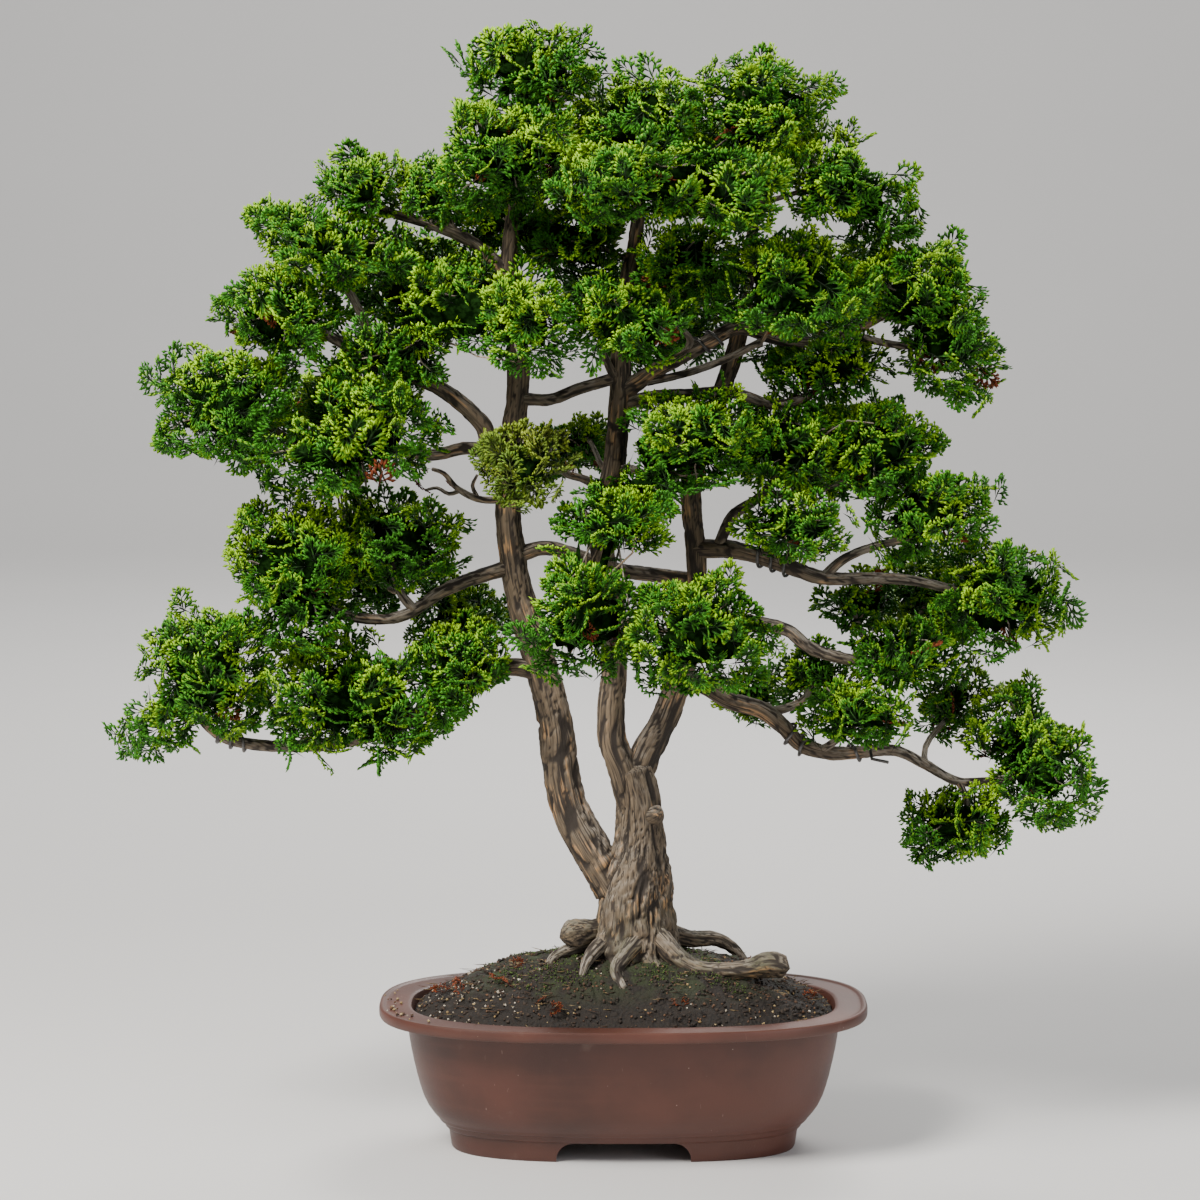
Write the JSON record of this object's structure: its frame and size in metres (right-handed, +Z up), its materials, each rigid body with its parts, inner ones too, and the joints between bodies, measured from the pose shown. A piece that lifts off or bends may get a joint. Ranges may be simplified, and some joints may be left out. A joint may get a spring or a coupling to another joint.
{
  "type": "hinoki cypress bonsai",
  "caption": "Informal upright hinoki cypress bonsai with several trunks and tiered fan foliage, standing in a low oval clay pot with drain screens and training wire.",
  "frame": {"origin": "the middle of the bounding box at the foot's underside, on the surface it stands on", "axes": "+Z up along the trunks, -Y towards the front of the tree, +X to the right as seen from the front"},
  "size_m": [0.8331, 0.4147, 0.9536],
  "materials": {
    "clay": "unglazed reddish brown, satin",
    "soil": "dark damp grit and moss, matt",
    "bark": "fissured grey brown bark, matt",
    "mesh": "black plastic drain mesh",
    "wire": "brown anodised, dull",
    "foliage": "deep green scale leaves with yellow green tips",
    "foliage_olive": "olive brown scale leaves"
  },
  "bodies": {
    "root": {"pot": "clay", "soil": "soil", "wood": "bark", "drain_screen_left": "mesh", "drain_screen_right": "mesh", "wire_right_lowest": "wire", "wire_right_end": "wire", "wire_right_level": "wire", "wire_right_climb": "wire", "wire_low_left": "wire", "apex": "foliage", "crown_left": "foliage", "crown_middle": "foliage", "crown_right": "foliage", "crown_front": "foliage", "crown_back": "foliage", "right_shoulder": "foliage", "right_upper": "foliage", "right_tier": "foliage", "right_under_tier": "foliage", "heart_left": "foliage", "heart_middle": "foliage", "heart_right": "foliage", "left_top": "foliage", "left_top_inner": "foliage", "left_upper": "foliage", "left_upper_low": "foliage", "left_inner_upper": "foliage", "left_level_end": "foliage", "left_level_low": "foliage", "left_middle": "foliage", "left_middle_inner": "foliage", "low_left_end": "foliage", "low_left_middle": "foliage", "low_left_near": "foliage", "olive_front": "foliage_olive", "behind_middle": "foliage", "right_of_middle": "foliage", "front_middle": "foliage", "front_right": "foliage", "behind_left": "foliage", "right_inner": "foliage", "right_inner_low": "foliage", "right_level_rise": "foliage", "right_level_end": "foliage", "right_small": "foliage", "right_low_end": "foliage", "right_low_inner": "foliage", "right_lowest_front": "foliage", "right_lowest_back": "foliage", "right_lowest_end": "foliage", "right_drop": "foliage", "behind_right_low": "foliage", "back_upper_left": "foliage", "back_upper_right": "foliage", "back_upper_middle": "foliage", "back_left": "foliage", "back_right": "foliage", "back_low_right": "foliage"}
  },
  "joints": []
}
